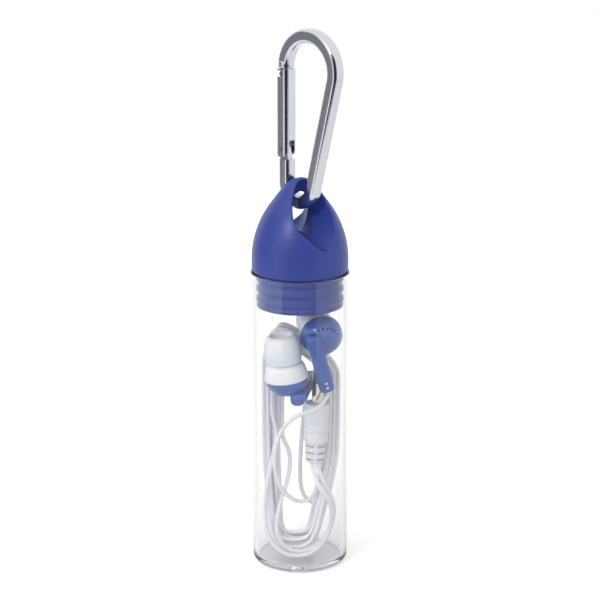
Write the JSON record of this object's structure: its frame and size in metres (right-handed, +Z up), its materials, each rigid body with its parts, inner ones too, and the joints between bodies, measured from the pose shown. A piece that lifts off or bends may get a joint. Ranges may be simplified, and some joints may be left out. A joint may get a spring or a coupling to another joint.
{
  "type": "wired earphones in a carry tube",
  "caption": "Wired in-ear earphones coiled in a clear tube with a push-in cap and a small clip carabiner.",
  "frame": {"origin": "centre of the tube's flat base", "axes": "+Z up along the tube to the cap and carabiner; the carabiner lies in the XZ plane with its gate on the -X side; X is the axis of the cap's eye"},
  "size_m": [0.0294, 0.028, 0.1551],
  "materials": {
    "clear_plastic": "clear, polished",
    "blue_plastic": "semi-gloss blue",
    "carabiner_metal": "satin",
    "pin_steel": "plain",
    "spring_steel": "plain",
    "tip_silicone": "matte white",
    "mesh_steel": "woven",
    "white_plastic": "glossy white",
    "film": "thin film",
    "copper": "wound wire",
    "magnet": "plated",
    "frame_plastic": "moulded",
    "blue_shell": "semi-gloss blue",
    "white_rubber": "matte white",
    "contact_metal": "plated",
    "black_plastic": "moulded",
    "cord_jacket": "soft white"
  },
  "bodies": {
    "case": {"case_tube": "clear_plastic"},
    "earphones": {"left_ear_tip": "tip_silicone", "left_nozzle_mesh": "mesh_steel", "left_front_housing": "white_plastic", "left_diaphragm": "film", "left_voice_coil": "copper", "left_driver_magnet": "magnet", "left_driver_frame": "frame_plastic", "left_back_housing": "blue_shell", "left_stem": "blue_shell", "right_ear_tip": "tip_silicone", "right_nozzle_mesh": "mesh_steel", "right_front_housing": "white_plastic", "right_diaphragm": "film", "right_voice_coil": "copper", "right_driver_magnet": "magnet", "right_driver_frame": "frame_plastic", "right_back_housing": "blue_shell", "right_stem": "blue_shell", "jack_grip": "white_rubber", "jack_sleeve": "contact_metal", "jack_ring": "contact_metal", "jack_insulators": "black_plastic", "jack_tip": "contact_metal", "left_cord_hank": "cord_jacket", "left_cord_plug_lead": "cord_jacket", "left_cord_bud_lead": "cord_jacket", "right_cord_hank": "cord_jacket", "right_cord_plug_lead": "cord_jacket", "right_cord_bud_lead": "cord_jacket"},
    "cap": {"cap": "blue_plastic"},
    "carabiner": {"carabiner_body": "carabiner_metal", "gate_pivot_pin": "pin_steel", "latch_pin": "pin_steel"},
    "gate": {"carabiner_gate": "carabiner_metal", "gate_plunger": "pin_steel", "gate_spring": "spring_steel"}
  },
  "joints": [
    {"name": "earphones_lift", "type": "slide", "parent": "case", "child": "earphones", "axis": [0, 0, 1], "range_m": [0, 0.09]},
    {"name": "cap_pull", "type": "slide", "parent": "earphones", "child": "cap", "axis": [0, 0, 1], "range_m": [0, 0.025]},
    {"name": "carabiner_swing", "type": "hinge", "parent": "cap", "child": "carabiner", "pos_m": [0, 0, 0.11105], "axis": [0, 1, 0], "range_deg": [-110, 100]},
    {"name": "gate_open", "type": "hinge", "parent": "carabiner", "child": "gate", "pos_m": [-0.0054, 0, 0.1209], "axis": [0, 1, 0], "range_deg": [0, 35], "stiffness_Nm_per_rad": 0.01, "springref_deg": -11.46}
  ]
}
